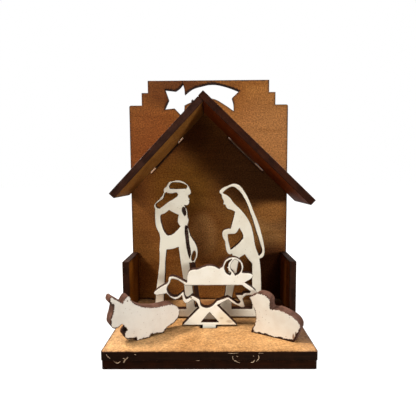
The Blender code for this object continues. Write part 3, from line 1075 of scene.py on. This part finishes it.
@dataclass(frozen=True)
class SlotShade:
    """A dark strip of painted shade in the play between a roof board's tab and its slot in the back panel.

    It takes up fill of the play along the tab and end past the tab's ends, where it holds painted light.
    Along the tab it holds painted light too, up to a given share.
    """

    fill: float
    end: float
    bare: float
    over: float = 5.4
    sunk: float = 0.25
    end_sunk: float = 0.06
    rear: float = 0.4
    lap: float = 0.05
    lip: float = 0.1
    bevel: float = 0.12
    ragged: float = 0.015
    waves: float = 1.4
    steps: int = 48
    tab_starts: float = 0.2

    def lay(self, name: str, plane: Plane, panel_front: float, board: float) -> None:
        """Lays the painted shade and painted light beside the tab.

        Args:
            name: The roof board's node.
            plane: Its axes.
            panel_front: Y of the panel's front.
            board: Thickness of the panel.
        """
        spots = [plane.flatten(v.co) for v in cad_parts[name].data.vertices]
        side = plane.along.y
        tab = [s for s in spots if s[0] * side > panel_front + self.tab_starts]
        low, high, under = min(s[1] for s in tab), max(s[1] for s in tab), min(s[2] for s in tab)
        back = panel_front + board - self.rear
        rows = []
        for step in range(self.steps + 1):
            up = low - self.over + (high - low + 2 * self.over) * step / self.steps
            on_tab = low <= up <= high
            ragged = self.ragged * wave.noise(Vector((up * self.waves, side, 2.0)))
            foot = under - (self.fill if on_tab else self.end) - ragged
            front = panel_front + (self.sunk if on_tab else self.end_sunk) + ragged * 2
            top = under + self.lap
            corner = ((front, foot + self.lip), (front + self.bevel, foot))
            ring = ((front, top), *corner, (back, foot), (back, top))
            rows.append([(plane.along * side * y + plane.up * up + plane.out * out) * MM for y, out in ring])
        shape = bmesh.new()
        # A vertex attribute marks where the strip carries painted light instead of painted shade.
        layer = shape.verts.layers.float.new("bare")
        tube(shape, rows)
        for vert in shape.verts:
            vert[layer] = self.bare if low <= plane.flatten(vert.co)[1] <= high else 1.0
        dress_small(shape, name + "_slot_shade", SLOT_SHADE_TONE.make())


@dataclass
class Stable:
    """The back panel, the roof boards and the side walls, all in dark stain."""

    left_pitch: float = math.radians(46.4)
    right_pitch: float = math.radians(44.0)
    panel_front: float = 23.3
    board: float = 3.0
    step: float = 1.0
    grid: float = 3.0
    rims: Pair = (0.3, 0.9)
    soften: float = 0.1
    # Painted shade and painted light in the slots of the left and right roof tabs.
    left_slot_shade: SlotShade = SlotShade(fill=0.62, end=0.45, bare=0.0)
    right_slot_shade: SlotShade = SlotShade(fill=0.33, end=0.52, bare=0.35)
    blob_at: Point = (-6.2, -4.1)
    blob_half: Triple = (0.6, 0.5, 0.55)
    blob_lift: float = 0.25
    blob_lump: float = 0.25
    blob_waves: float = 1.6

    def saw(self, name: str, plane: Plane, front: Material, cut: Material, back: Material) -> None:
        """Builds and dresses one board of the stable."""
        sizes = (self.step, self.grid, self.rims, self.soften)
        CutBoard(name, plane, front, cut, back, Slot.STAINED, *sizes).build()

    def blob(self) -> None:
        """Adds the bead of glue that dried on the left roof board near the ridge."""
        plane = Plane(Vector((0, -1, 0)), Vector((math.cos(self.left_pitch), 0, math.sin(self.left_pitch))))
        top = max(plane.flatten(v.co)[2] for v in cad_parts["roof_left"].data.vertices)
        x, y = self.blob_at
        middle = Vector((x, y, (top - x * plane.out.x) / plane.out.z)) + plane.out * self.blob_lift
        shape = bmesh.new()
        bmesh.ops.create_icosphere(shape, subdivisions=3, radius=1.0)
        for vert in shape.verts:
            lump = 1 + self.blob_lump * wave.noise(vert.co * self.blob_waves)
            local = Vector([part * half for part, half in zip(vert.co, self.blob_half)]) * lump
            vert.co = (middle + plane.up * local.x + plane.along * local.y + plane.out * local.z) * MM
        dress_small(shape, "roof_left_glue_blob", BLOB_TONE.make())

    def build(self) -> None:
        """Builds and dresses the five boards, the painted shade and light in the panel's slots, and the blob.
        """
        cut = STABLE_CUT.make()
        panel = StainedFace(
            "panel_stain_painted_light_and_shade", (140, 93, 45), (120, 73, 31), grain=1.3, seed=11, burn=0.3,
            # Besides the stain's own tones, these patches paint light and shade into the stain, as noted.
            patches=(
                # Paler upper right: partly stain, partly painted light.
                Patch(30, 80, 26, 30, (142, 98, 58), 0.75),
                # Redder upper left: partly stain, partly painted shade.
                Patch(-30, 80, 18, 32, (123, 71, 35), 0.8),
                Patch(-16, 112, 20, 9, (76, 38, 16), 0.8),
                Patch(-14, 66, 18, 16, (128, 86, 24), 0.5),
                # Painted shade inside, by the left wall.
                Patch(-27, 43, 13, 10, (104, 60, 25), 0.65),
                # Painted light between the couple's legs and the manger.
                Patch(-3, 40, 7, 11, (198, 142, 84), 0.7),
                # Painted shade right of the manger.
                Patch(10, 22, 10, 9, (66, 32, 10), 0.75),
                # Painted light low on the right, where light comes in under the eave.
                Patch(30, 44, 10, 11, (176, 128, 76), 0.6),
                # Painted shadow of the right wall, low on the right.
                Patch(31, 20, 13, 18, (56, 24, 8), 0.92),
                # Painted shade under the right roof board, up to the gable's corner.
                GableShade((64, 18, 0), left_pitch=self.left_pitch, right_pitch=self.right_pitch),
                # Painted shade at the apex.
                Patch(-7, 90, 9, 9, (52, 14, 0), 0.5),
                # Painted light under the right eave.
                Patch(31, 52, 9, 6, (170, 112, 54), 0.7),
            ),
        ).make()
        rear = StainedFace("panel_back_stain", (128, 80, 44), (100, 58, 30), seed=14).make()
        self.saw("back_panel", FACING_FRONT, panel, cut, rear)
        # The right underside gets darker, redder tones than the left: painted shade under the right roof
        # board.
        left_under, right_under_painted_shade = ((142, 96, 44), (114, 72, 30)), ((112, 50, 10), (88, 34, 4))
        for side, name, pitch, roof_cut, tones, slot_shade in (
            (Side.LEFT, "roof_left", self.left_pitch, cut, left_under, self.left_slot_shade),
            (Side.RIGHT, "roof_right", self.right_pitch, RIGHT_ROOF_CUT.make(), right_under_painted_shade, self.right_slot_shade),
        ):
            sign = side.value
            plane = Plane(Vector((0, sign, 0)), Vector((-sign * math.cos(pitch), 0, math.sin(pitch))))
            under = StainedFace(name + "_under_stain_and_painted_shade", *tones, seed=20 + sign).make()
            outer = StainedFace(name + "_top_stain", (134, 84, 46), (106, 62, 32), seed=24 + sign).make()
            self.saw(name, plane, outer, roof_cut, under)
            slot_shade.lay(name, plane, self.panel_front, self.board)
        self.blob()
        wall_cut = WALL_CUT.make()
        for side, name, tones in (
            (Side.LEFT, "side_wall_left", ((110, 64, 16), (86, 44, 8))),
            (Side.RIGHT, "side_wall_right", ((112, 64, 24), (92, 46, 14))),
        ):
            plane = Plane(Vector((0, side.value, 0)), Vector((0, 0, 1)))
            stain = StainedFace(name + "_stain", *tones, seed=30 + side.value).make()
            self.saw(name, plane, stain, wall_cut, stain)


@dataclass
class Figures:
    """The sheet with the couple, and the child in its manger."""

    base_top: float = BASE_TOP
    beard_at: Point = (-10.6, 47.8)
    staff_at: Point = (-9.2, 34.5)
    groove_sunk: float = 0.35
    groove_thick: float = 1.4
    groove_lap: float = 0.05
    post: tuple[Point, ...] = ((-7.15, 24.2), (-5.75, 12.8), (-4.95, 6.2))
    post_steps: int = 26
    post_chip: Pair = (1.35, 4.0)

    def bare_post(self) -> tuple[Chip, ...]:
        """Gives the chips that leave the post beside the man's leg unpainted.

        Returns:
            A row of chips from the post's top to its foot.
        """
        corners = range(len(self.post))
        shares = np.linspace(0, corners[-1], self.post_steps + 1)
        x, height = (np.interp(shares, corners, axis) for axis in zip(*self.post))
        return tuple((*spot, *self.post_chip) for spot in zip(x, height + self.base_top))

    def groove(self, name: str, at: Point) -> None:
        """Closes a narrow opening of the couple's sheet with a burnt floor just behind the paint.

        Args:
            name: Name of the groove.
            at: A place near its middle, in X and height above the base.
        """
        loops, front, _ = trace("couple", FACING_FRONT)
        middle = np.array((at[0], at[1] + self.base_top))
        near = min(loops, key=lambda loop: float(np.hypot(*(loop.mean(0) - middle))))
        outline = near - inward(near) * self.groove_lap
        rows = []
        for depth in (front - self.groove_sunk, front - self.groove_sunk - self.groove_thick):
            rows.append(FACING_FRONT.place_all(np.column_stack([outline, np.full(len(outline), depth)])))
        shape = bmesh.new()
        bmesh.ops.triangulate(shape, faces=tube(shape, rows))
        dress_small(shape, name + "_groove", GROOVE_TONE.make())

    def build(self) -> None:
        """Builds and dresses both sheets and the two grooves."""
        cut = FIGURE_CUT.make()
        raw = RAW_BACK.make()
        couple = PaintedFace(
            "couple_paint_and_painted_shadow", (225, 221, 208), (217, 211, 196), burn=0.05, fade=0.09, ragged=0.04, seed=3,
            patches=(
                # Painted shadow of the child's head on the woman's leg.
                Patch(10.0, 25.5, 2.6, 3.2, (158, 142, 124), 0.85),
                Patch(-18.5, 43.5, 9.0, 8.0, (237, 235, 222), 0.85),
            ),
        ).make()
        manger = PaintedFace(
            "manger_paint", (242, 240, 231), (236, 232, 220), burn=0.07, fade=0.1, ragged=0.04, seed=6,
            patches=(
                Patch(-12.8, 26.4, 0.3, 0.7, (70, 44, 30), 0.9),
                Patch(-7.5, 19.2, 0.4, 0.4, (70, 44, 30), 0.9),
                Patch(-3, 9.5, 9.0, 6.0, (240, 243, 234), 0.8),
                Patch(7, 10.5, 4.0, 4.0, (222, 214, 188), 0.7),
                Patch(8.6, 9.0, 1.6, 0.7, (160, 130, 94), 0.45),
                Patch(5.2, 10.4, 0.8, 0.5, (172, 144, 106), 0.4),
                Patch(0, 6.0, 4.0, 0.9, (214, 200, 164), 0.5),
            ),
        ).make()
        CutBoard("couple", FACING_FRONT, couple, cut, raw, Slot.PAINTED, chips=self.bare_post()).build()
        CutBoard("manger", FACING_FRONT, manger, cut, raw, Slot.PAINTED).build()
        self.groove("beard", self.beard_at)
        self.groove("staff", self.staff_at)


COW_CHIPS = (
    (-0.2, 6.2, 1.6, 0.3), (-1.6, 4.1, 1.8, 0.42), (-3.4, 3.1, 1.5, 0.36), (-6.2, 1.6, 1.5, 0.35),
    (-9.8, 0.8, 1.6, 0.3), (-12.2, 1.2, 1.3, 0.4), (-15.5, 0.0, 3.0, 0.4), (-21.5, 1.7, 2.0, 0.3),
    (-23.0, 3.6, 1.3, 0.3), (-26.6, 7.1, 1.8, 0.3), (-28.1, 9.5, 1.8, 0.35), (-27.3, 13.0, 2.2, 0.35),
    (-26.8, 15.9, 1.2, 0.4), (-28.3, 17.3, 1.3, 0.6),
)
SHEEP_CHIPS = (
    (1.5, 0.1, 2.2, 0.8), (4.6, 0.0, 1.6, 1.5), (7.2, 0.0, 1.6, 2.0), (9.2, 0.0, 1.3, 1.0),
    (11.6, 0.0, 1.0, 0.8), (13.2, 0.0, 1.6, 2.2), (15.4, 0.0, 1.4, 1.5), (17.6, 0.2, 1.7, 2.0),
    (18.9, 1.6, 1.2, 0.9), (19.6, 3.1, 1.4, 1.2), (20.4, 5.2, 1.2, 0.6), (0.4, 13.6, 1.2, 0.25),
    (2.3, 9.6, 1.4, 0.25), (1.6, 2.2, 1.5, 0.35), (8.9, 12.4, 1.3, 0.3),
)


@dataclass
class Animals:
    """The lying cow and the lying sheep, cut from thicker board.

    Each start is where the animal's outline has its zero along its board.
    """

    cow_heading: float = math.radians(33)
    cow_start: float = -16.73
    sheep_heading: float = math.radians(-30.5)
    sheep_start: float = 20.89
    base_top: float = BASE_TOP
    grid: float = 1.0
    rows: int = 4

    def build(self) -> None:
        """Builds and dresses both animals."""
        cow = PaintedFace(
            "cow_paint", (221, 218, 211), (214, 209, 201), burn=0.05, fade=0.2, ragged=0.16, seed=6,
            patches=(Patch(self.cow_start - 21.6, self.base_top + 16.4, 0.3, 0.3, (96, 78, 62), 0.85),),
        )
        sheep = PaintedFace(
            "sheep_paint", (223, 221, 213), (216, 211, 201), burn=0.03, fade=0.2, ragged=0.2,
            specks=0.5, seed=10,
            patches=(
                Patch(self.sheep_start + 18.2, self.base_top + 2.2, 0.45, 1.3, (120, 84, 54), 0.85),
                Patch(self.sheep_start + 19.1, self.base_top + 3.6, 0.35, 0.8, (96, 62, 40), 0.85),
            ),
        )
        cut, raw = ANIMAL_CUT.make(), RAW_BACK.make()
        for name, heading, start, chips, paint in (
            ("cow", self.cow_heading, self.cow_start, COW_CHIPS, cow),
            ("sheep", self.sheep_heading, self.sheep_start, SHEEP_CHIPS, sheep),
        ):
            plane = Plane(Vector((math.cos(heading), math.sin(heading), 0)), Vector((0, 0, 1)))
            moved = tuple((start + u, self.base_top + z, radius, depth) for u, z, radius, depth in chips)
            CutBoard(
                name, plane, paint.make(), cut, raw, Slot.PAINTED, grid=self.grid, rows=self.rows, chips=moved
            ).build()


@dataclass(frozen=True)
class Lamp:
    """A soft square lamp that looks at the stable.

    Heading is degrees to the right of straight ahead, height degrees above the stable's middle, and
    level how bright a white sheet that faces the lamp renders, from 0 to 1.
    """

    name: str
    heading: float
    height: float
    away_m: float
    size_m: float
    level: float
    colour: Colour
    aim_m: Triple = (0, 0, 0.05)

    def hang(self) -> None:
        """Adds the lamp."""
        light = bpy.data.lights.new(self.name, "AREA")
        light.size = self.size_m
        light.energy = self.level * (math.pi * self.away_m) ** 2
        light.color = self.colour
        lamp = stand(self.name, light)
        turn, tilt = math.radians(self.heading), math.radians(self.height)
        ray = Vector((math.cos(tilt) * math.sin(turn), -math.cos(tilt) * math.cos(turn), math.sin(tilt)))
        lamp.location = Vector(self.aim_m) + ray * self.away_m
        lamp.rotation_euler = (-ray).to_track_quat("-Z", "Y").to_euler()


@dataclass
class Studio:
    """Floor, backdrop light, lamps and the camera at the photograph's place."""

    lens: float = 29.21
    sensor: float = 36
    clip_m: Pair = (0.005, 20)
    place_m: Triple = (0.00104, -0.145949, 0.067953)
    yaw: float = 0.00933
    pitch: float = -0.08303
    roll: float = 0.00614
    floor_half_m: float = 3.0
    floor_tone: Colour = (0.15, 0.15, 0.15)
    sky_level: float = 0.03
    lamps: tuple[Lamp, ...] = (
        Lamp("right_lamp", 50, 4, 0.30, 0.06, 0.62, (1.0, 0.97, 0.92)),
        Lamp("right_high_lamp", 40, 45, 0.40, 0.12, 0.38, (1.0, 0.95, 0.88)),
        Lamp("left_lamp", -80, 44, 0.42, 0.09, 1.80, (1.0, 0.89, 0.77)),
        Lamp("back_left_lamp", -148, 28, 0.50, 0.20, 0.55, (1.0, 0.95, 0.9)),
        Lamp("back_right_lamp", 150, 30, 0.50, 0.20, 0.50, (1.0, 0.97, 0.94)),
        Lamp("top_lamp", 5, 72, 0.50, 0.12, 0.36, (1.0, 0.93, 0.85)),
    )

    def build(self) -> None:
        """Sets everything up."""
        self.floor()
        self.sky()
        for lamp in self.lamps:
            lamp.hang()
        self.camera()

    def floor(self) -> None:
        """Lays a pale floor that looks white to the camera and keeps the shadow."""
        mesh = bpy.data.meshes.new("floor")
        corners = ((-1, -1, 0), (1, -1, 0), (1, 1, 0), (-1, 1, 0))
        mesh.from_pydata([Vector(corner) * self.floor_half_m for corner in corners], [], [range(4)])
        bench = ShaderBench("floor_paper", 0.9, 0.1)
        bench.feed(bench.shader.inputs["Base Color"], self.floor_tone)
        bench.feed(bench.shader.inputs["Emission Color"], WHITE)
        bench.link(bench.seen(), bench.shader.inputs["Emission Strength"])
        mesh.materials.append(bench.material)
        floor = stand("floor", mesh)

    def sky(self) -> None:
        """Gives a white backdrop to the camera and a dimmer even light to the object."""
        world = bpy.data.worlds.new("backdrop")
        bpy.context.scene.world = world
        bench = NodeBench(world)
        level = bench.add("MapRange", Value=bench.seen(), **{"To Min": self.sky_level, "To Max": 1.0})
        background = bench.tree.nodes["Background"]
        bench.feed(background.inputs["Color"], WHITE)
        bench.link(level.outputs["Result"], background.inputs["Strength"])

    def camera(self) -> None:
        """Places the camera where the photograph was taken from."""
        data = bpy.data.cameras.new("camera")
        data.lens = self.lens
        data.sensor_width = self.sensor
        data.clip_start, data.clip_end = self.clip_m
        angles = ((self.yaw, "Z"), (self.pitch, "X"), (self.roll, "Y"))
        yaw, pitch, roll = (Matrix.Rotation(angle, 3, axis) for angle, axis in angles)
        turn = yaw @ pitch @ roll
        axes = Matrix([turn.col[0], turn.col[2], -turn.col[1]]).transposed()
        camera = stand("camera", data)
        camera.matrix_world = Matrix.Translation(self.place_m) @ axes.to_4x4()
        bpy.context.scene.camera = camera


def main() -> None:
    """Builds the whole scene in order."""
    bpy.context.scene.view_settings.view_transform = "Standard"
    for part in (Base(), Stable(), Figures(), Animals(), Studio()):
        part.build()
        LOG.info("%s done", type(part).__name__)


if __name__ == "__main__":
    logging.basicConfig(level=logging.INFO, format="%(name)s %(message)s")
    main()
